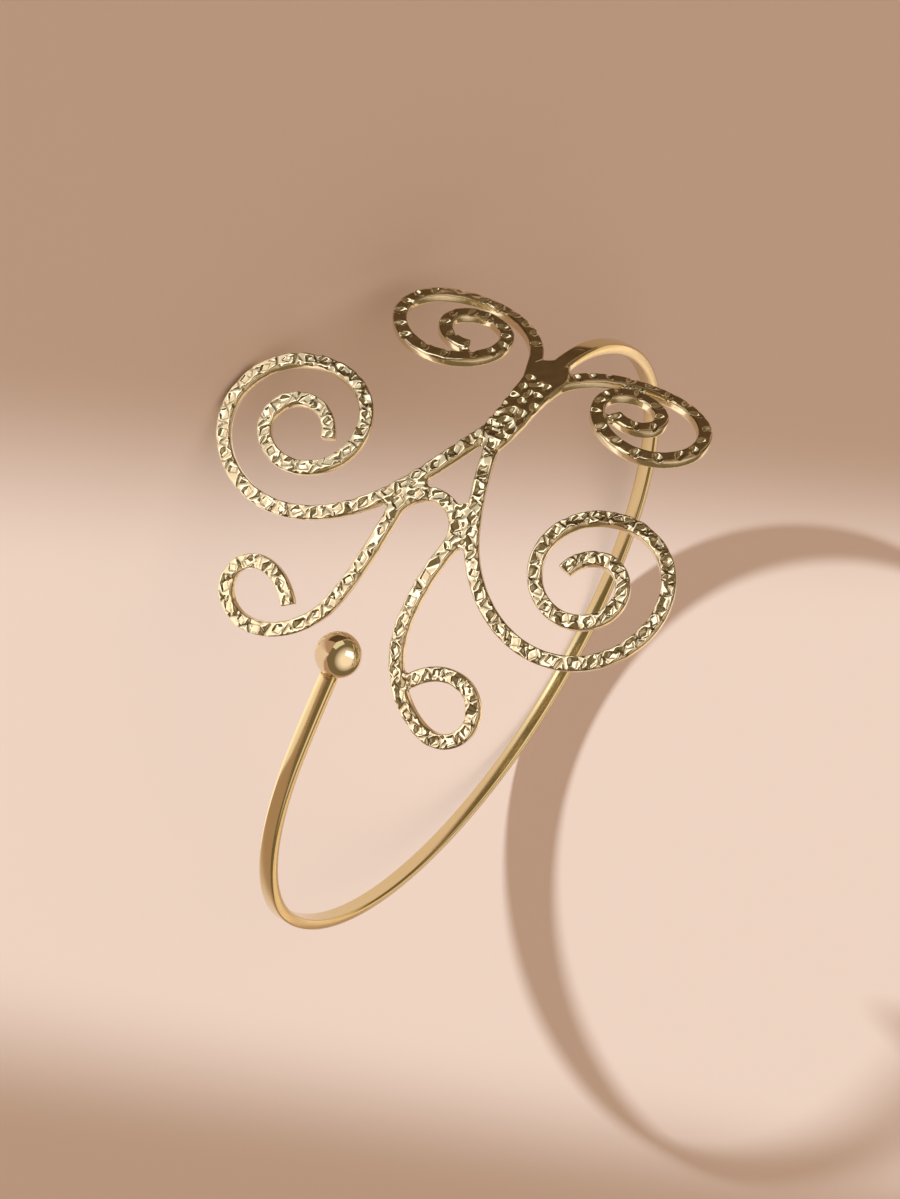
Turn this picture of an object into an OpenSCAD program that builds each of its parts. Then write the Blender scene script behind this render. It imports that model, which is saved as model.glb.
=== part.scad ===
// Open bracelet with a hammered scrollwork front.
//
// A polished band of flattened wire goes once round the wrist. One end is soldered to the stem of a cast
// ornament of six scrolls, which is bent to the curve of the wrist, and the other end carries a ball.
//
// The parts are described in the band's own plane: the axis is Z, the ornament is on the +Y side, and the
// "left" scrolls are below the plane. The whole is then laid down as it rests on a table, with the back
// of the band and the edge of the big left scroll touching, and the ornament to the front, at -Y.

/* [Band] */
// Inside diameter of the back of the band, mm
inner_d = 64; // [58:0.5:70]
// Width of the band's wire, along the wrist, mm
band_w = 1.6; // [1.5:0.1:2.2]
// Thickness of the band's wire, mm
band_t = 1.2; // [1.1:0.1:1.6]
// Bevel that eases the band's edges, mm
ease = 0.35; // [0.2:0.05:0.5]

/* [Ball] */
// Diameter of the ball, mm
ball_d = 4.4; // [4:0.1:6]
// Diameter of the pin that holds the ball, mm
pin_d = 1; // [0.8:0.1:1.2]
// Gap between the ball and the band, all round the pin, mm
gap = 0.05; // [0.04:0.01:0.1]

/* [Ornament] */
// Radius of the ornament's face where it is bent round the wrist, mm
face_r = 34.9; // [34:0.1:36]
// Width of a scroll's wire, mm
wire_w = 1.4; // [1.2:0.1:1.6]
// Thickness of a scroll's wire, mm
wire_t = 1.0; // [0.9:0.1:1.2]
// Bevel on the edges of a scroll's wire, mm
bevel = 0.2; // [0.1:0.05:0.3]
// Depth of the hammer marks, mm
hammer = 0.1; // [0:0.02:0.14]

/* [Hidden] */

// How it lies on the table: turned about X, Y and Z, then moved until it touches and is centred
rest_turn = [21, -0.9, 180];
rest_move = [-1.35, 6.78, 10.86];

gold = [0.86, 0.72, 0.44];
pale_gold = [0.88, 0.80, 0.58];

// The band: arcs that follow each other without a kink, from the ornament's stem round the back of the
// wrist to the ball.
band_start = [24.8, 23.7];
band_heading = -39;
RADIUS = 0;
ARC_TURN = 1;
band_arcs = [
    // radius, turn in degrees
    [17, 29],
    [inner_d / 2 + band_t / 2, 141],
    [36.3, 70.5],
    [25.2, 61.5],
    [100.0, 5],
];

// Each arc starts a little inside the one before it, and is this much slimmer all round
lap = 0.4;
step_in = 0.01;

// The ornament is laid out flat and then bent. Flat places are [down, out]: down the arm from the angle
// stem_angle, and out from the bracelet's middle line, each side its own way. Lengths down the arm are
// measured on length_r, and heights from the face, which is 0, inwards.
stem_angle = 45;
length_r = 34.2;
wire_step = 0.9;

// Each scroll: place and heading where it leaves the stem, the straight length inside the stem, the radius
// it starts with, and its rows. A row turns the wire and brings its radius evenly to a new value.
TURN = 0;
END_RADIUS = 1;
//           down   out   heading lead radius
big_left =  [10.8,  1.1,  17,     3,   54];
big_right = [10.6,  1.1,  19,     3,   68];
top_left =  [-1.8,  2.2,  157,    4,   9.8];
top_right = [-0.2,  1.4,  164,    4,   8.6];

big_left_rows = [
    // turn, radius at the end
    [13, 17.4], [55, 9.4], [90, 7.1], [90, 7.0], [90, 5.1], [90, 5.0], [90, 2.8], [90, 3.1], [69, 4.8],
];
big_right_rows = [
    [13, 15.1], [55, 9.6], [90, 7.4], [90, 6.4], [90, 5.6], [90, 4.6], [90, 3.2], [90, 2.8], [85, 3.4],
];
top_left_rows = [
    [-50, 7.5], [-40, 7.4], [-90, 4.3], [-90, 6.3], [-90, 3.2], [-90, 3.2], [-90, 2.5], [-93, 2.9],
];
top_right_rows = [
    [-50, 10.4], [-40, 6.1], [-90, 4.3], [-90, 6.2], [-90, 2.8], [-90, 3.3], [-90, 1.7], [-103, 3.4],
];

// The arch between the two small curls, and the curls: rows from the top of the arch outwards.
arch_top = 17.0;
arch_r = 3.2;
left_curl_rows = [
    [-93, arch_r], [0, 50], [20, 8.0], [40, 9.5], [30, 4.1], [90, 2.6], [90, 3.0], [56, 7.0],
];
right_curl_rows = [
    [-97, 3.6], [0, 41], [20, 10.2], [40, 9.4], [30, 3.2], [90, 2.9], [90, 3.2], [63, 6.4],
];

// The stem, from the band to the fork
stem = [
    // down, half width left, half width right, lift to meet the band
    [-3.6, 0.7, 0.7, 0.1],
    [-2.7, 1.0, 1.1, 0.15],
    [-2.0, 1.7, 1.6, 0.15],
    [-1.0, 2.2, 2.1, 0.1],
    [0.0, 1.9, 2.1, 0.05],
    [2.0, 1.6, 1.9, 0],
    [4.0, 1.4, 1.9, 0],
    [6.0, 1.2, 2.0, 0],
    [8.0, 1.2, 1.9, 0],
    [10.0, 1.2, 1.6, 0],
];

// Webs that join the arch's shoulders to the long arms, as flat corners
left_web = [[16.2, -2.0], [16.8, -3.4], [19.8, -5.2], [20.0, -3.6], [18.0, -2.0]];
right_web = [[16.5, 2.2], [18.2, 2.0], [20.3, 3.6], [20.2, 5.4], [17.0, 3.6]];

// Seat: how far from the ball's centre it is cut flat for the band's end. The pin goes pin_l past the seat.
seat = sqrt(pow(ball_d / 2, 2) - pow(band_w / 2, 2));
pin_l = seat + 1.1;
bite = 0.5;

// The scrolls lie this much under the stem's face, the arch between them a little higher, and the webs
// stand out past both, so that no two faces lie in one surface.
scroll_sink = 0.05;
arch_sink = 0.02;
web_proud = 0.03;

// Seeds of the hammer marks, one for each wire
big_right_seed = 3;
big_left_seed = 5;
top_right_seed = 7;
top_left_seed = 9;
arch_seed = 11;

// A place on the bent ornament: down, out and height over its face
function bent(down, out, height) =
    let (a = stem_angle + down / length_r * 180 / PI)
    [(face_r + height) * cos(a), (face_r + height) * sin(a), out];

// The centre line of a wire as [down, out, heading] stations about wire_step apart
function row_stations(from, r0, row) =
    let (
        turn = row[TURN],
        r1 = row[END_RADIUS],
        n = ceil(abs(turn) * PI / 180 * (r0 + r1) / 2 / wire_step),
        da = turn / max(n, 1)
    )
    turn == 0 ? [] : step_stations(from, r0, r1, da, n, 0);

function step_stations(at, r0, r1, da, n, i) =
    i == n ? [] :
    let (
        r = r0 + (r1 - r0) * (i + 0.5) / n,
        chord = 2 * r * sin(abs(da) / 2),
        a = at[2] + da / 2,
        next = [at[0] + chord * cos(a), at[1] + chord * sin(a), at[2] + da]
    )
    concat([next], step_stations(next, r0, r1, da, n, i + 1));

function rows_stations(from, r0, rows, i) =
    i == len(rows) ? [] :
    let (
        here = row_stations(from, r0, rows[i]),
        last = len(here) == 0 ? from : here[len(here) - 1]
    )
    concat(here, rows_stations(last, rows[i][END_RADIUS], rows, i + 1));

function lead_stations(at, length) =
    let (n = ceil(length / wire_step))
    [for (i = [n:-1:0]) [
        at[0] - length * i / n * cos(at[2]),
        at[1] - length * i / n * sin(at[2]),
        at[2],
    ]];

function scroll_stations(start, rows) =
    let (from = [start[0], start[1], start[2]])
    concat(lead_stations(from, start[3]), rows_stations(from, start[4], rows, 0));

function arch_stations(rows) = rows_stations([arch_top, 0, 90], arch_r, rows, 0);

// The other side of the bracelet, and a line walked the other way
function mirrored(line) = [for (p = line) [p[0], -p[1], -p[2]]];
function reversed(line) =
    [for (i = [len(line) - 1:-1:0]) [line[i][0], line[i][1], line[i][2] + 180]];

// Corners of a wire's section at a station: [across, height], with hammer marks a and b on the face
function section(a, b) =
    let (w = wire_w / 2, t = wire_t)
    [
        [-w + bevel, -a], [w - bevel, -b], [w, -bevel - b], [w, -t + bevel],
        [w - bevel, -t], [-w + bevel, -t], [-w, -t + bevel], [-w, -bevel - a],
    ];

// A closed skin over rings of corners
module skin(rings) {
    n = len(rings[0]);
    m = len(rings);
    points = [for (ring = rings) for (p = ring) p];
    sides = [
        for (i = [0:m - 2]) for (k = [0:n - 1])
            let (a = i * n + k, b = i * n + (k + 1) % n, c = a + n, d = b + n)
            each [[a, b, d], [a, d, c]]
    ];
    first = [for (k = [1:n - 2]) [0, k + 1, k]];
    last = [for (k = [1:n - 2]) [(m - 1) * n, (m - 1) * n + k, (m - 1) * n + k + 1]];
    polyhedron(points = points, faces = concat(sides, first, last), convexity = 10);
}

// A hammered wire bent onto the ornament's curve. The seed sets its own pattern of marks.
module wire(line, seed, sink) {
    marks = rands(0, hammer, 2 * len(line), seed);
    rings = [for (i = [0:len(line) - 1])
        let (p = line[i], c = cos(p[2]), s = sin(p[2]))
        [for (q = section(sink + marks[2 * i], sink + marks[2 * i + 1]))
            bent(p[0] - q[0] * s, p[1] + q[0] * c, q[1])]];
    skin(rings);
}

module stem_piece() {
    rings = [for (row = stem)
        let (down = row[0], left = -row[1], right = row[2], top = row[3], back = row[3] - wire_t)
        [
            bent(down, left + bevel, top), bent(down, right - bevel, top),
            bent(down, right, top - bevel), bent(down, right, back + bevel),
            bent(down, right - bevel, back), bent(down, left + bevel, back),
            bent(down, left, back + bevel), bent(down, left, top - bevel),
        ]];
    skin(rings);
}

module web(corners) {
    skin([
        [for (p = corners) bent(p[0], p[1], web_proud)],
        [for (p = corners) bent(p[0], p[1], -wire_t - web_proud)],
    ]);
}

module ornament() {
    wire(scroll_stations(big_right, big_right_rows), big_right_seed, scroll_sink);
    wire(mirrored(scroll_stations(big_left, big_left_rows)), big_left_seed, scroll_sink);
    wire(scroll_stations(top_right, top_right_rows), top_right_seed, scroll_sink);
    wire(mirrored(scroll_stations(top_left, top_left_rows)), top_left_seed, scroll_sink);
    wire(
        concat(
            reversed(mirrored(arch_stations(left_curl_rows))),
            [[arch_top, 0, 90]],
            arch_stations(right_curl_rows)
        ),
        arch_seed,
        arch_sink
    );
    web(left_web);
    web(right_web);
    stem_piece();
}

// The band's section: flattened wire with its edges eased
module band_section(i) {
    w = band_w / 2 - i * step_in;
    t = band_t / 2 - i * step_in;
    polygon([
        [-t, -w + ease], [-t + ease, -w], [t - ease, -w], [t, -w + ease],
        [t, w - ease], [t - ease, w], [-t + ease, w], [-t, w - ease],
    ]);
}

// Carries on from the end of each arc to the next, then to what stands at the band's end
module along_band(i) {
    if (i < len(band_arcs)) {
        r = band_arcs[i][RADIUS];
        turn = band_arcs[i][ARC_TURN];
        translate([-r, 0, 0])
            rotate([0, 0, -turn])
                translate([r, 0, 0])
                    along_band(i + 1)
                        children();
    } else {
        children();
    }
}

module band_arc(i) {
    r = band_arcs[i][RADIUS];
    turn = band_arcs[i][ARC_TURN];
    translate([-r, 0, 0])
        rotate([0, 0, -turn])
            rotate_extrude(angle = turn + lap / r * 180 / PI)
                translate([r, 0])
                    band_section(i);
}

module from_band_start() {
    translate([band_start[0], band_start[1], 0])
        rotate([0, 0, band_heading + 90])
            children();
}

module band_arcs_from(i) {
    if (i < len(band_arcs)) {
        r = band_arcs[i][RADIUS];
        turn = band_arcs[i][ARC_TURN];
        band_arc(i);
        translate([-r, 0, 0])
            rotate([0, 0, -turn])
                translate([r, 0, 0])
                    band_arcs_from(i + 1);
    }
}

// At the band's end, with the band coming from +Y
module at_band_end() {
    from_band_start()
        along_band(0)
            children();
}

module band() {
    from_band_start()
        band_arcs_from(0);
    at_band_end()
        rotate([90, 0, 0])
            translate([0, 0, -bite])
                cylinder(d = pin_d, h = bite + gap + pin_l, $fn = 48);
}

module laid_down() {
    translate(rest_move)
        rotate(rest_turn)
            children();
}

module cuff() {
    laid_down() {
        color(gold)
            band();
        color(pale_gold)
            ornament();
    }
}

// The ball: a seat for the band's end and a blind hole for its pin
module end_ball() {
    color(gold)
        laid_down()
            at_band_end()
                translate([0, -seat - gap, 0])
                    rotate([90, 0, 0])
                        difference() {
                            sphere(d = ball_d, $fn = 96);
                            translate([0, 0, -ball_d])
                                cylinder(d = ball_d * 2, h = ball_d - seat, $fn = 96);
                            translate([0, 0, -ball_d])
                                cylinder(d = pin_d + 2 * gap, h = ball_d + pin_l - seat + gap, $fn = 48);
                        }
}

cuff();
end_ball();
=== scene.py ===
# Spiral bracelet: an open band of polished wire, a cast spray of hammered scrolls and a ball.
import math

import bpy
import numpy as np
from mathutils import Matrix, Vector


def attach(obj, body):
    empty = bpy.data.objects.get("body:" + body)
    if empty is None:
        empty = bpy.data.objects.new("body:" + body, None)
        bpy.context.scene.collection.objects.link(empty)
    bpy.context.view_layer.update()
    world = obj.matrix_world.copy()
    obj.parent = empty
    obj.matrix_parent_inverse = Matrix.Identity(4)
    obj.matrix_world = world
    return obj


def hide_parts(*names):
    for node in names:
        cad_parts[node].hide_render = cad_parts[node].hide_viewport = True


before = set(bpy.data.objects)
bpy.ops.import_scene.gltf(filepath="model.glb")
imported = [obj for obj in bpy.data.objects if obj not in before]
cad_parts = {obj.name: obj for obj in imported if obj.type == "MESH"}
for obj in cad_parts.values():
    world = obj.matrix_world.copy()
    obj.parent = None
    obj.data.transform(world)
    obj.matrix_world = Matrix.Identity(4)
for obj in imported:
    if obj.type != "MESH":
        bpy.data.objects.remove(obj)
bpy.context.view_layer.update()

# The camera looks down on the bracelet from the front and is rolled well over on its side, so that
# the stem's foot is at the top of the picture, the scrolls spread below it and the band swings down
# behind them.
CAMERA_PLACE = (-0.00906, -0.20331, 0.18486)
CAMERA_AZIMUTH = math.radians(1.87)
CAMERA_DOWN = math.radians(40.86)
CAMERA_ROLL = math.radians(119.69)

camera_data = bpy.data.cameras.new("camera")
camera_data.sensor_width = 36
camera_data.lens = 78.07
camera_data.clip_start = 0.01
camera = bpy.data.objects.new("camera", camera_data)
camera.matrix_world = (
    Matrix.Translation(CAMERA_PLACE)
    @ Matrix.Rotation(-CAMERA_AZIMUTH, 4, "Z")
    @ Matrix.Rotation(math.pi / 2 - CAMERA_DOWN, 4, "X")
    @ Matrix.Rotation(CAMERA_ROLL, 4, "Z")
)
bpy.context.scene.collection.objects.link(camera)
bpy.context.scene.camera = camera


# Band: one length of flattened brass wire, drawn, bent round the wrist by hand in four curves and
# polished bright under thin gold plate. One end is soldered under the casting's stem, the other
# carries the ball. Shapes are made in millimetres in the band's own plane and then laid down.
MM = 0.001
LAY_DOWN = (
    Matrix.Scale(MM, 4)
    @ Matrix.Translation((-1.35, 6.78, 10.86))
    @ Matrix.Rotation(math.pi, 4, "Z")
    @ Matrix.Rotation(math.radians(-0.9), 4, "Y")
    @ Matrix.Rotation(math.radians(21), 4, "X")
)

BAND_WIDTH = 1.6
BAND_THICKNESS = 1.2
BAND_EASE = 0.25
BAND_START = (24.8, 23.7)
BAND_HEADING = -39
BAND_STEP = 0.4
BAND_CURVES = (
    # radius, turn in degrees
    (17, 29),
    (32.6, 141),
    (36.3, 70.5),
    (25.2, 61.5),
    (100.0, 5),
)


def eased_bar(width, thickness, ease, corner_steps=5):
    """Outline of a bar's section as (across, height): straight sides and round corners."""
    outline = []
    centres = (
        (width / 2 - ease, thickness / 2 - ease, 0),
        (ease - width / 2, thickness / 2 - ease, 90),
        (ease - width / 2, ease - thickness / 2, 180),
        (width / 2 - ease, ease - thickness / 2, 270),
    )
    for across, height, first in centres:
        for i in range(corner_steps):
            a = math.radians(first + 90 * i / (corner_steps - 1))
            outline.append((across + ease * math.cos(a), height + ease * math.sin(a)))
    return outline


def skin(rings, first_index=0):
    """Closed skin over rings of corners, as its corners and faces."""
    count = len(rings[0])
    corners = [corner for ring in rings for corner in ring]
    faces = []
    for i in range(len(rings) - 1):
        for k in range(count):
            a = first_index + i * count + k
            b = first_index + i * count + (k + 1) % count
            faces.append((a, b, b + count, a + count))
    last = first_index + (len(rings) - 1) * count
    faces.append(tuple(first_index + k for k in reversed(range(count))))
    faces.append(tuple(last + k for k in range(count)))
    return corners, faces


def band_line():
    """The band's centre line from the casting to the ball: x, y and heading in degrees."""
    x, y = BAND_START
    heading = BAND_HEADING
    line = [(x, y, heading)]
    for radius, turn in BAND_CURVES:
        steps = math.ceil(math.radians(turn) * radius / BAND_STEP)
        for _ in range(steps):
            middle = math.radians(heading - turn / steps / 2)
            chord = 2 * radius * math.sin(math.radians(turn / steps) / 2)
            x += chord * math.cos(middle)
            y += chord * math.sin(middle)
            heading -= turn / steps
            line.append((x, y, heading))
    return line


def band_ring(x, y, heading, outline):
    """Corners of the band's section at one place: across is along the wrist, height is outwards."""
    s, c = math.sin(math.radians(heading)), math.cos(math.radians(heading))
    return [(x - height * s, y + height * c, across) for across, height in outline]


def piece_from(name, corners, faces):
    mesh = bpy.data.meshes.new(name)
    mesh.from_pydata(corners, [], faces)
    mesh.update()
    piece = bpy.data.objects.new(name, mesh)
    bpy.context.scene.collection.objects.link(piece)
    return piece


def add_nodes(owner, *kinds):
    """New shader nodes in a material's, a lamp's or the world's tree."""
    return [owner.node_tree.nodes.new("ShaderNode" + kind) for kind in kinds]


def gold_plate(name, colour, worn, roughness, grain, grain_depth):
    """Gold plate: colour drifting between two shades, uneven gloss and a grain in the polish."""
    material = bpy.data.materials.new(name)
    material.use_nodes = True
    shader = material.node_tree.nodes["Principled BSDF"]
    shader.inputs["Metallic"].default_value = 1
    place, drift, shade, haze, gloss, lines, bump = add_nodes(
        material, "TexCoord", "TexNoise", "Mix", "TexNoise", "MapRange", "TexNoise", "Bump"
    )
    link = material.node_tree.links.new
    shade.data_type = "RGBA"
    shade.inputs["A"].default_value = (*colour, 1)
    shade.inputs["B"].default_value = (*worn, 1)
    drift.inputs["Scale"].default_value = 90
    haze.inputs["Scale"].default_value = 700
    haze.inputs["Detail"].default_value = 4
    gloss.inputs["To Min"].default_value = roughness[0]
    gloss.inputs["To Max"].default_value = roughness[1]
    lines.inputs["Scale"].default_value = grain
    lines.inputs["Detail"].default_value = 3
    bump.inputs["Strength"].default_value = 0.35
    bump.inputs["Distance"].default_value = grain_depth * MM
    for texture in (drift, haze, lines):
        link(place.outputs["Object"], texture.inputs["Vector"])
    link(drift.outputs["Fac"], shade.inputs["Factor"])
    link(shade.outputs["Result"], shader.inputs["Base Color"])
    link(haze.outputs["Fac"], gloss.inputs["Value"])
    link(gloss.outputs["Result"], shader.inputs["Roughness"])
    link(lines.outputs["Fac"], bump.inputs["Height"])
    link(bump.outputs["Normal"], shader.inputs["Normal"])
    return material


band_outline = eased_bar(BAND_WIDTH, BAND_THICKNESS, BAND_EASE)
band = piece_from("band", *skin([band_ring(*place, band_outline) for place in band_line()]))
band.data.transform(LAY_DOWN)
band.data.shade_smooth()
band.data.materials.append(
    gold_plate("polished_gold", (0.80, 0.71, 0.43), (0.76, 0.63, 0.35), (0.08, 0.16), 2600, 0.002)
)
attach(band, "root")
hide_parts("cuff")


# Casting: stem, four scrolls and two curls come out of one mould in brass. The wires run into each
# other with soft corners, the faces are dented with small punches and hammers, the sides stay
# plain. The flat casting is bent over a mandrel to the wrist's curve and plated in pale gold.
FACE_R = 34.9
LENGTH_R = 34.2
STEM_ANGLE = 45
WIRE_WIDTH = 1.4
WIRE_THICKNESS = 1.0
WIRE_EASE = 0.2
WIRE_STEP = 0.25

# Each scroll: place and heading where it leaves the stem, the straight length inside the stem, the
# radius it starts with, and its rows of turn and end radius.
RIGHT = 1
LEFT = -1
SCROLLS = (
    # side, down, out, heading, lead, radius, rows
    (LEFT, 10.8, 1.1, 17, 3, 54, (
        (13, 17.4), (55, 9.4), (90, 7.1), (90, 7.0), (90, 5.1), (90, 5.0),
        (90, 2.8), (90, 3.1), (69, 4.8),
    )),
    (RIGHT, 10.6, 1.1, 19, 3, 68, (
        (13, 15.1), (55, 9.6), (90, 7.4), (90, 6.4), (90, 5.6), (90, 4.6),
        (90, 3.2), (90, 2.8), (85, 3.4),
    )),
    (LEFT, -1.8, 2.2, 157, 4, 9.8, (
        (-50, 7.5), (-40, 7.4), (-90, 4.3), (-90, 6.3), (-90, 3.2), (-90, 3.2),
        (-90, 2.5), (-93, 2.9),
    )),
    (RIGHT, -0.2, 1.4, 164, 4, 8.6, (
        (-50, 10.4), (-40, 6.1), (-90, 4.3), (-90, 6.2), (-90, 2.8), (-90, 3.3),
        (-90, 1.7), (-103, 3.4),
    )),
)
TOP_SCROLLS = (2, 3)
ARCH_TOP = 17.0
ARCH_R = 3.2
CURLS = (
    # side, rows from the top of the arch outwards
    (LEFT, (
        (-93, ARCH_R), (0, 50), (20, 8.0), (40, 9.5), (30, 4.1), (90, 2.6), (90, 3.0), (56, 7.0),
    )),
    (RIGHT, (
        (-97, 3.6), (0, 41), (20, 10.2), (40, 9.4), (30, 3.2), (90, 2.9), (90, 3.2), (63, 6.4),
    )),
)
STEM = (
    # down, half width left, half width right, lift to meet the band
    (-3.6, 0.7, 0.7, 0.1),
    (-2.7, 1.0, 1.1, 0.15),
    (-2.0, 1.7, 1.6, 0.15),
    (-1.0, 2.2, 2.1, 0.1),
    (0.0, 1.9, 2.1, 0.05),
    (2.0, 1.6, 1.9, 0),
    (4.0, 1.4, 1.9, 0),
    (6.0, 1.2, 2.0, 0),
    (8.0, 1.2, 1.9, 0),
    (10.0, 1.2, 1.6, 0),
)
STEM_STEP = 0.4
WEBS = (
    # corners of the metal that fills the angles under the fork: down, out
    ((16.2, -2.0), (16.8, -3.4), (19.8, -5.2), (20.0, -3.6), (18.0, -2.0)),
    ((16.5, 2.2), (18.2, 2.0), (20.3, 3.6), (20.2, 5.4), (17.0, 3.6)),
)


def bent(down, out, height):
    """A place on the flat casting after it is bent over the mandrel. Heights are over the face."""
    a = math.radians(STEM_ANGLE) + down / LENGTH_R
    return ((FACE_R + height) * math.cos(a), (FACE_R + height) * math.sin(a), out)


def walk(down, out, heading, radius, rows):
    """Centre line of a wire laid out flat: down, out and heading in degrees, about a step apart."""
    line = []
    for turn, end_radius in rows:
        steps = math.ceil(math.radians(abs(turn)) * (radius + end_radius) / 2 / WIRE_STEP)
        for i in range(steps):
            r = radius + (end_radius - radius) * (i + 0.5) / steps
            chord = 2 * r * math.sin(math.radians(abs(turn) / steps) / 2)
            middle = math.radians(heading + turn / steps / 2)
            down += chord * math.cos(middle)
            out += chord * math.sin(middle)
            heading += turn / steps
            line.append((down, out, heading))
        radius = end_radius
    return line


def lead_in(down, out, heading, length):
    """The straight start of a wire, inside the stem, up to where it leaves it."""
    steps = math.ceil(length / WIRE_STEP)
    a = math.radians(heading)
    return [
        (down - length * i / steps * math.cos(a), out - length * i / steps * math.sin(a), heading)
        for i in range(steps, 0, -1)
    ] + [(down, out, heading)]


def on_side(side, line):
    return [(down, side * out, side * heading) for down, out, heading in line]


def turned_back(line):
    return [(down, out, heading + 180) for down, out, heading in reversed(line)]


wire_lines = [
    on_side(side, lead_in(down, out, heading, lead) + walk(down, out, heading, radius, rows))
    for side, down, out, heading, lead, radius, rows in SCROLLS
]
left_curl, right_curl = (
    on_side(side, walk(ARCH_TOP, 0, 90, ARCH_R, rows)) for side, rows in CURLS
)
wire_lines.append(turned_back(left_curl) + [(ARCH_TOP, 0, 90)] + right_curl)

cast_corners = []
cast_faces = []


def cast(rings):
    corners, faces = skin(rings, len(cast_corners))
    cast_corners.extend(corners)
    cast_faces.extend(faces)


wire_outline = eased_bar(WIRE_WIDTH, WIRE_THICKNESS, WIRE_EASE)
for line in wire_lines:
    rings = []
    for down, out, heading in line:
        s, c = math.sin(math.radians(heading)), math.cos(math.radians(heading))
        rings.append([
            bent(down - a * s, out + a * c, h - WIRE_THICKNESS / 2) for a, h in wire_outline
        ])
    cast(rings)

stem_rows = np.array(STEM)
rings = []
for down in np.arange(STEM[0][0], STEM[-1][0] + 0.01, STEM_STEP):
    left, right, lift = (np.interp(down, stem_rows[:, 0], stem_rows[:, k]) for k in (1, 2, 3))
    outline = eased_bar(left + right, WIRE_THICKNESS, WIRE_EASE)
    middle = (right - left) / 2
    rings.append([bent(down, middle + a, h + lift - WIRE_THICKNESS / 2) for a, h in outline])
cast(rings)

for corners in WEBS:
    cast([[bent(down, out, h) for down, out in corners] for h in (0, -WIRE_THICKNESS)])

# The solder at the band's root: it swells the band a little and fades away into it.
ROOT_LENGTH = 7
ROOT_SWELL = 0.06
ROOT_FADE = 1.7
root = [place for i, place in enumerate(band_line()) if i * BAND_STEP < ROOT_LENGTH]
rings = []
for i, place in enumerate(root):
    extra = ROOT_SWELL * (1 - ROOT_FADE * i / (len(root) - 1))
    outline = eased_bar(BAND_WIDTH + extra, BAND_THICKNESS + extra, BAND_EASE)
    rings.append(band_ring(*place, outline))
cast(rings)

# The remesh melts the wires into one skin. Swelling it before a second remesh and shrinking it
# after fills the corners where wires meet, as molten metal does.
casting = piece_from("scrollwork", cast_corners, cast_faces)
MELT = 0.1
FILLET = 0.25


def remesh(piece, size):
    modifier = piece.modifiers.new("remesh", "REMESH")
    modifier.mode = "VOXEL"
    modifier.voxel_size = size


def swell(piece, amount):
    modifier = piece.modifiers.new("swell", "DISPLACE")
    modifier.strength = amount
    modifier.mid_level = 0


def settle(piece):
    """Replaces a piece's mesh by what its modifiers make of it."""
    bpy.context.view_layer.update()
    settled = piece.evaluated_get(bpy.context.evaluated_depsgraph_get())
    piece.data = bpy.data.meshes.new_from_object(settled)
    piece.modifiers.clear()


remesh(casting, MELT)
swell(casting, FILLET)
remesh(casting, MELT)
swell(casting, -FILLET)
soften = casting.modifiers.new("soften", "SMOOTH")
soften.factor = 0.5
soften.iterations = 2
settle(casting)


def flat_places(mesh):
    """Where a mesh's corners lie on the flat casting: angle, down, out and height over the face."""
    places = np.empty(len(mesh.vertices) * 3)
    mesh.vertices.foreach_get("co", places)
    places = places.reshape(-1, 3)
    angle = np.arctan2(places[:, 1], places[:, 0])
    down = LENGTH_R * (angle - math.radians(STEM_ANGLE))
    return angle, down, places[:, 2], np.hypot(places[:, 0], places[:, 1]) - FACE_R


def on_face(height):
    """1 on the casting's face, fading to 0 about half way down its sides."""
    return np.clip((height + 0.45) / 0.3, 0, 1)


# Hammering: flat slanted punches with crisp walls, chisel strokes between them, and nicks on both
# edges. The stem and the two top scrolls have rounder hollows, crowded on the stem and sparse on
# the scrolls.
FLAT, HOLLOW, STROKE = range(3)
PUNCH_WALL = 0.13
STROKE_END = 0.2
DEEPEST = 0.28
EDGE_LINE = 0.66
draw = np.random.default_rng(7)
marks = []


def mark(kind, down, out, turn, half_length, half_width, depth, shear=0, tilt=0):
    # Each mark gets a random strength for the painted shade in its walls or groove
    shade_strength = draw.uniform(0.7, 1)
    marks.append((kind, down, out, turn, half_length, half_width, depth, shear, tilt, shade_strength))


def spots(line, pitch):
    """Places along a wire about a pitch apart: down, out, heading and the gap to the next."""
    travelled = 0
    due = 0
    for down, out, heading in line:
        travelled += WIRE_STEP
        if travelled >= due:
            gap = pitch * draw.uniform(0.8, 1.2)
            due = travelled + gap
            yield down, out, math.radians(heading), gap


def beside(down, out, a, forward, side):
    """The place a little forward and to the side of a place whose heading is a."""
    return (
        down + forward * math.cos(a) - side * math.sin(a),
        out + forward * math.sin(a) + side * math.cos(a),
    )


def hammer_wire(line):
    """Flats along the middle, two crossing strokes in each gap, and a nick on either edge."""
    flip = 1
    for down, out, a, gap in spots(line, 1.9):
        flip = -flip
        place = beside(down, out, a, 0, flip * draw.uniform(0, 0.12))
        turn = a + draw.choice((0.1, 0.5, 0.8, -0.5, -0.2))
        mark(FLAT, *place, turn, draw.uniform(0.38, 0.6), draw.uniform(0.32, 0.48),
             draw.uniform(0.08, 0.13), draw.uniform(-0.5, 0.5), draw.uniform(-0.6, 0.7))
        for k, forward in enumerate((0.42, 0.62)):
            place = beside(down, out, a, gap * forward, draw.uniform(-0.15, 0.15))
            slant = flip * (1 - 2 * k) * draw.uniform(0.6, 1.2)
            mark(STROKE, *place, a + slant, draw.uniform(0.5, 0.8), 0.16, draw.uniform(0.09, 0.13))
        for side in (-EDGE_LINE, EDGE_LINE):
            place = beside(down, out, a, gap * draw.uniform(0.3, 0.7), side)
            turn = a + draw.normal(0, 0.2)
            mark(HOLLOW, *place, turn, draw.uniform(0.3, 0.5), 0.26, draw.uniform(0.08, 0.14))


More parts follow.
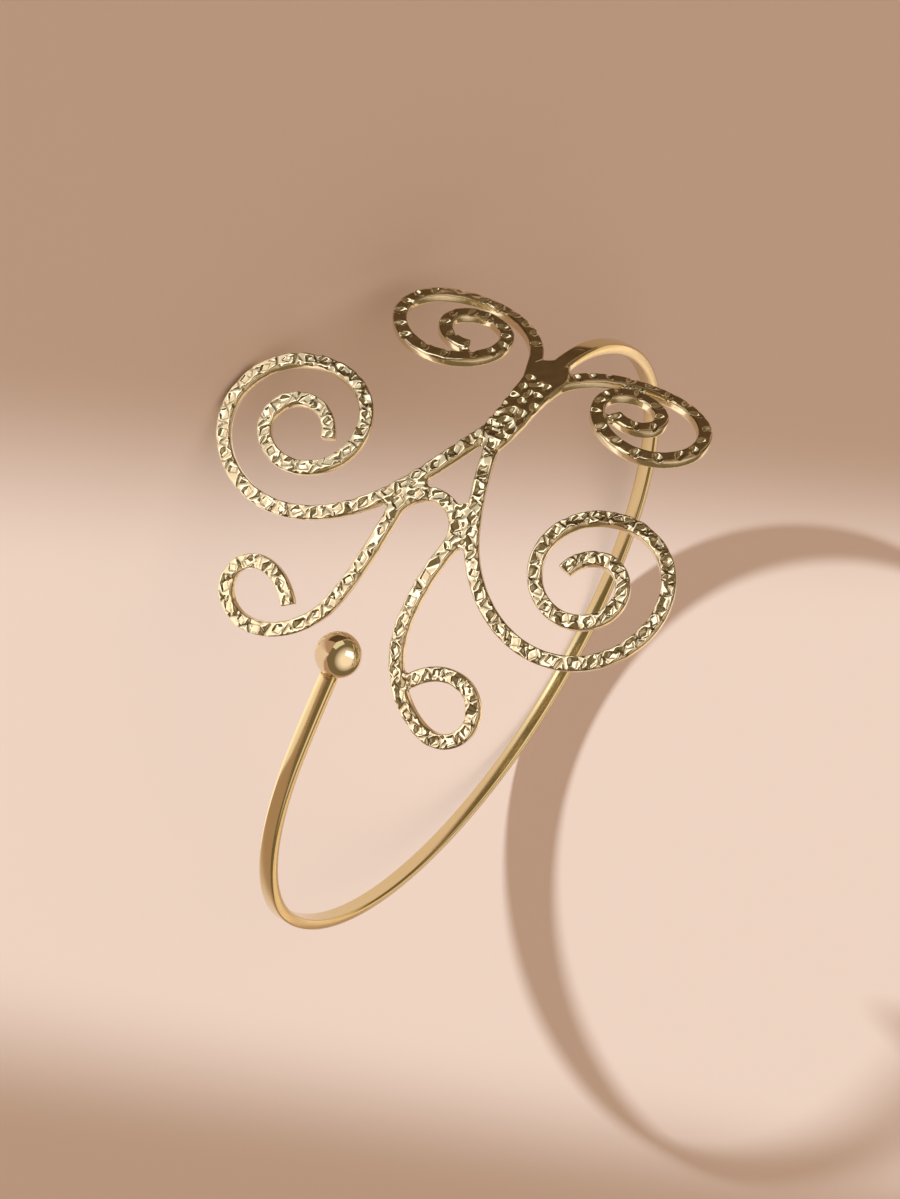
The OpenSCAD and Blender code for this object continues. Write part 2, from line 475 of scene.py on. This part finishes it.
def hammer_hollows(line):
    """Single oval hollows, most of them across the wire."""
    for down, out, a, _ in spots(line, 1.8):
        place = beside(down, out, a, 0, draw.uniform(-0.3, 0.3))
        mark(HOLLOW, *place, a + draw.uniform(0.7, 2.2), draw.uniform(0.6, 0.8),
             draw.uniform(0.36, 0.48), 0.25 * draw.uniform(0.8, 1.2))


def hammer_lumps(line):
    """Bigger hollows close together, which leave rounded lumps between them."""
    for down, out, a, _ in spots(line, 1.35):
        place = beside(down, out, a, 0, draw.uniform(-0.35, 0.35))
        mark(HOLLOW, *place, draw.uniform(0, 3), draw.uniform(0.6, 0.85), draw.uniform(0.4, 0.6),
             draw.uniform(0.18, 0.27))


# The first rows of a top scroll lie in the stem or stay plain
PLAIN_ROWS = 26
LUMPS_END = 11.0
LUMP_ROWS = (
    # down where the row starts, out
    (1.0, -0.9),
    (1.5, 0.2),
    (1.2, 1.4),
)
for number, line in enumerate(wire_lines):
    if number in TOP_SCROLLS:
        hammer_hollows(line[PLAIN_ROWS:])
    else:
        hammer_wire(line)
for start, out in LUMP_ROWS:
    hammer_lumps([(down, out, 0) for down in np.arange(start, LUMPS_END, WIRE_STEP)])


def hammered(mesh):
    """How deep the marks go at each corner of a mesh, and how much painted shade their walls and
    grooves get.
    """
    _, down, out, height = flat_places(mesh)
    face = on_face(height)
    cut = np.zeros(len(down))
    painted_shade = np.zeros(len(down))
    for kind, m_down, m_out, turn, length, width, depth, shear, tilt, shade_strength in marks:
        near = np.nonzero((abs(down - m_down) < 1) & (abs(out - m_out) < 1) & (face > 0))[0]
        x = (down[near] - m_down) * math.cos(turn) + (out[near] - m_out) * math.sin(turn)
        y = -(down[near] - m_down) * math.sin(turn) + (out[near] - m_out) * math.cos(turn)
        if kind == FLAT:
            inside = 1 - np.maximum(abs(x + shear * y) / length, abs(y) / width)
            wall = np.clip(inside * width / PUNCH_WALL, 0, 1)
            blow = depth * wall * (1 + tilt * x / length)
            # Painted shade on the punch's walls, strongest half way up them
            dark = shade_strength * 4 * wall * (1 - wall)
        elif kind == HOLLOW:
            blow = depth * np.clip(1 - (x / length) ** 2 - (y / width) ** 2, 0, 1)
            dark = 0 * blow
        else:
            blow = depth * np.clip(1 - abs(y) / width, 0, 1)
            blow *= np.clip((length - abs(x)) / STROKE_END, 0, 1)
            # Painted shade along the stroke's groove, darkest at its middle
            dark = shade_strength * blow / depth
        deeper = blow > cut[near]
        painted_shade[near] = np.where(deeper, dark, painted_shade[near])
        cut[near] = np.where(deeper, blow, cut[near])
    return np.minimum(cut, DEEPEST) * face, painted_shade * face


# The metal between the marks is wavy too, hardly at the top of the stem and more from there on
angle, down, out, height = flat_places(casting.data)
waves = np.sin(2.9 * down + 1.3 * np.sin(2.1 * out))
waves += np.sin(3.7 * out + 1.7 * np.sin(1.9 * down))
waves *= np.interp(down, (2, 9), (0.012, 0.045)) * on_face(height)
reach = FACE_R + height - hammered(casting.data)[0] + waves
places = np.stack([reach * np.cos(angle), reach * np.sin(angle), out], axis=1)
casting.data.vertices.foreach_set("co", places.ravel())
casting.data.update()

# The flats and the plain sides need few corners
KEPT_CORNERS = 0.32
thin = casting.modifiers.new("thin", "DECIMATE")
thin.ratio = KEPT_CORNERS
settle(casting)

# Painted shade: the rounded rim between face and side is darkened as much as the grooves
EDGE_SHADE = 0.9
angle = flat_places(casting.data)[0]
normals = np.empty(len(casting.data.vertices) * 3)
casting.data.vertex_normals.foreach_get("vector", normals)
normals = normals.reshape(-1, 3)
facing = normals[:, 0] * np.cos(angle) + normals[:, 1] * np.sin(angle)
edge = EDGE_SHADE * np.clip(1 - abs(facing - 0.6) / 0.3, 0, 1)
painted_shade = np.maximum(hammered(casting.data)[1], edge)
casting.data.attributes.new("painted_shade", "FLOAT", "POINT").data.foreach_set("value", painted_shade)
casting.data.transform(LAY_DOWN)
casting.data.shade_smooth()

# Painted shade: the base colour is darkened to a dull brown in the grooves, on the punch walls and
# along the rim
pale_gold = gold_plate(
    "pale_gold", (0.88, 0.79, 0.58), (0.80, 0.70, 0.46), (0.08, 0.18), 2200, 0.004
)
painted_shade_input, painted_shade_mix = add_nodes(pale_gold, "Attribute", "Mix")
painted_shade_input.attribute_name = "painted_shade"
painted_shade_mix.data_type = "RGBA"
painted_shade_mix.blend_type = "MULTIPLY"
painted_shade_mix.inputs["B"].default_value = (0.1, 0.065, 0.025, 1)
pale_shader = pale_gold.node_tree.nodes["Principled BSDF"]
pale_shade = pale_shader.inputs["Base Color"].links[0].from_socket
pale_gold.node_tree.links.new(painted_shade_input.outputs["Fac"], painted_shade_mix.inputs["Factor"])
pale_gold.node_tree.links.new(pale_shade, painted_shade_mix.inputs["A"])
pale_gold.node_tree.links.new(painted_shade_mix.outputs["Result"], pale_shader.inputs["Base Color"])
casting.data.materials.clear()
casting.data.materials.append(pale_gold)
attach(casting, "root")
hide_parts("cuff")


# Ball: a turned brass ball, polished like a mirror and plated. It is drilled half way through,
# pushed onto the pin at the band's end and soldered there, so that the wire's end can't scratch.
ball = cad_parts["end_ball"]
ball.data.materials.clear()
ball.data.materials.append(
    gold_plate("bright_gold", (0.91, 0.81, 0.58), (0.87, 0.75, 0.52), (0.03, 0.07), 2600, 0.001)
)
ball.data.shade_smooth()


# Table: a plain pale matt top. One low lamp at the front lights a strip of it and throws the band's
# shadow across the strip. The metal alone sees a few pale cards, as in any jewellery photograph.
TABLE_SIZE = 8
bpy.ops.mesh.primitive_plane_add(size=TABLE_SIZE, location=(0, 0, 0))
table = bpy.context.object
table.name = "table"
table_finish = bpy.data.materials.new("pale_table")
table_finish.use_nodes = True
table_shader = table_finish.node_tree.nodes["Principled BSDF"]
table_shader.inputs["Base Color"].default_value = (0.745, 0.576, 0.496, 1)
table_shader.inputs["Roughness"].default_value = 0.9
table_shader.inputs["Specular IOR Level"].default_value = 0.1
table.data.materials.append(table_finish)

# Low lamp at the front: a slotted screen before it leaves only a strip of the table lit, evenly
# from end to end. Each side of the strip is a line on the table, given by its near and far place,
# with the sine at which its soft edge starts.
LAMP_PLACE = Vector((-0.03, -0.38, 0.066))
LAMP_SINE = 0.17
STRIP_SIDES = (
    # near, far, which side is lit, where the soft edge starts
    (Vector((0.007, -0.052, 0)), Vector((-0.035, 0.084, 0)), 1, -0.009),
    (Vector((0.059, -0.018, 0)), Vector((0.048, 0.171, 0)), -1, -0.006),
)
SOFT_EDGE = 0.013
lamp_data = bpy.data.lights.new("lamp", "POINT")
lamp_data.energy = 158
lamp_data.color = (0.76, 0.91, 1)
lamp_data.shadow_soft_size = 0.004
lamp = bpy.data.objects.new("lamp", lamp_data)
lamp.location = LAMP_PLACE
lamp.visible_camera = False
bpy.context.scene.collection.objects.link(lamp)
lamp_data.use_nodes = True
lamp_link = lamp_data.node_tree.links.new
towards, falloff, fall, slope, level, even = add_nodes(
    lamp_data, "TexCoord", "LightFalloff", "SeparateXYZ", "Math", "Math", "Math"
)
away = towards.outputs["Normal"]
falloff.inputs["Strength"].default_value = 1
level.operation = "DIVIDE"
level.inputs[0].default_value = LAMP_SINE
slope.operation = "ABSOLUTE"
even.operation = "MULTIPLY"
lamp_link(away, fall.inputs["Vector"])
lamp_link(fall.outputs["Z"], slope.inputs[0])
lamp_link(slope.outputs["Value"], level.inputs[1])
lamp_link(falloff.outputs["Constant"], even.inputs[0])
lamp_link(level.outputs["Value"], even.inputs[1])
strength = even.outputs["Value"]
for near, far, side, shade in STRIP_SIDES:
    across = (near - LAMP_PLACE).cross(far - LAMP_PLACE).normalized() * side
    offset, soft_edge, product = add_nodes(lamp_data, "VectorMath", "MapRange", "Math")
    offset.operation = "DOT_PRODUCT"
    offset.inputs[1].default_value = across
    soft_edge.interpolation_type = "SMOOTHSTEP"
    soft_edge.inputs["From Min"].default_value = shade
    soft_edge.inputs["From Max"].default_value = shade + SOFT_EDGE
    product.operation = "MULTIPLY"
    lamp_link(away, offset.inputs[0])
    lamp_link(offset.outputs["Value"], soft_edge.inputs["Value"])
    lamp_link(soft_edge.outputs["Result"], product.inputs[0])
    lamp_link(strength, product.inputs[1])
    strength = product.outputs["Value"]
lamp_link(strength, lamp_data.node_tree.nodes["Emission"].inputs["Strength"])


def group(name, *members):
    """What a light falls on, or what shades it."""
    collection = bpy.data.collections.new(name)
    for member in members:
        collection.objects.link(member)
    return collection


metal_only = group("metal_only", band, casting)
casting_only = group("casting_only", casting)
ball_only = group("ball_only", ball)
lamp.light_linking.receiver_collection = group("table_only", table)
lamp.light_linking.blocker_collection = group("shadow_makers", band, ball)


def card(name, place, turn, size, glow, colour, seen_by=metal_only):
    """A lit card that shows in the metal but leaves the table alone. Its glow is its brightness."""
    data = bpy.data.lights.new(name, "AREA")
    data.shape = "RECTANGLE"
    data.size, data.size_y = size
    data.energy = glow * size[0] * size[1] * math.pi
    data.color = colour
    light = bpy.data.objects.new(name, data)
    light.location = place
    light.rotation_euler = [math.radians(a) for a in turn]
    light.visible_camera = False
    light.light_linking.receiver_collection = seen_by
    bpy.context.scene.collection.objects.link(light)


# In front of the bracelet a white sheet lies on the table and then rises. The rising part shows in
# the casting alone. Behind the bracelet stands a warm card.
card(
    "sheet_rising",
    (-0.04, -0.22, 0.025), (90, 0, 0), (0.56, 0.06), 1.75, (0.97, 1, 1), casting_only,
)
card("sheet_lying", (-0.026, -0.163, 0.0006), (180, 0, 30), (0.26, 0.22), 0.62, (1, 0.99, 0.95))
card("back_card", (-0.01, 0.3, 0.035), (-90, 0, 0), (0.5, 0.06), 0.75, (1, 0.72, 0.46))

# The ball sees two cards of its own: one overhead and one at the front left
card(
    "ball_card_over",
    (-0.22, 0.04, 0.45), (-6, -26, 0), (0.2, 0.42), 1.3, (1, 0.93, 0.86), ball_only,
)
card(
    "ball_card_front",
    (-0.29, -0.3, 0.085), (90, 0, -45), (0.4, 0.16), 0.62, (1, 0.98, 0.74), ball_only,
)

# Painted reflection of shade: left of the bracelet lies a dark brown sheet that glows faintly,
# unseen by the camera and casting no shadow, which the stem and the two top scrolls mirror
shade_reflection_finish = bpy.data.materials.new("shade_reflection_sheet")
shade_reflection_finish.use_nodes = True
shade_reflection_shader = shade_reflection_finish.node_tree.nodes["Principled BSDF"]
shade_reflection_shader.inputs["Base Color"].default_value = (0.02, 0.012, 0.006, 1)
shade_reflection_shader.inputs["Emission Color"].default_value = (0.058, 0.029, 0.009, 1)
shade_reflection_shader.inputs["Emission Strength"].default_value = 1
bpy.ops.mesh.primitive_plane_add(
    size=1, location=(-0.16, -0.071, 0.0003), rotation=(0, 0, math.radians(45))
)
shade_reflection_sheet = bpy.context.object
shade_reflection_sheet.name = "shade_reflection_sheet"
shade_reflection_sheet.scale = (0.25, 0.18, 1)
shade_reflection_sheet.visible_camera = False
shade_reflection_sheet.visible_diffuse = False
shade_reflection_sheet.visible_shadow = False
shade_reflection_sheet.data.materials.append(shade_reflection_finish)

# Overhead is a wide pale ceiling and the walls of the room are dark.
world = bpy.data.worlds.new("studio")
bpy.context.scene.world = world
world.use_nodes = True
sky, split, height, blend = add_nodes(world, "TexCoord", "SeparateXYZ", "MapRange", "Mix")
world_link = world.node_tree.links.new
background = world.node_tree.nodes["Background"]
blend.data_type = "RGBA"
blend.inputs["A"].default_value = (0.20, 0.145, 0.075, 1)
blend.inputs["B"].default_value = (1.08, 0.90, 0.74, 1)
height.inputs["From Min"].default_value = 0.5
height.inputs["From Max"].default_value = 0.9
world_link(sky.outputs["Generated"], split.inputs["Vector"])
world_link(split.outputs["Z"], height.inputs["Value"])
world_link(height.outputs["Result"], blend.inputs["Factor"])
world_link(blend.outputs["Result"], background.inputs["Color"])
bpy.context.scene.view_settings.view_transform = "Standard"
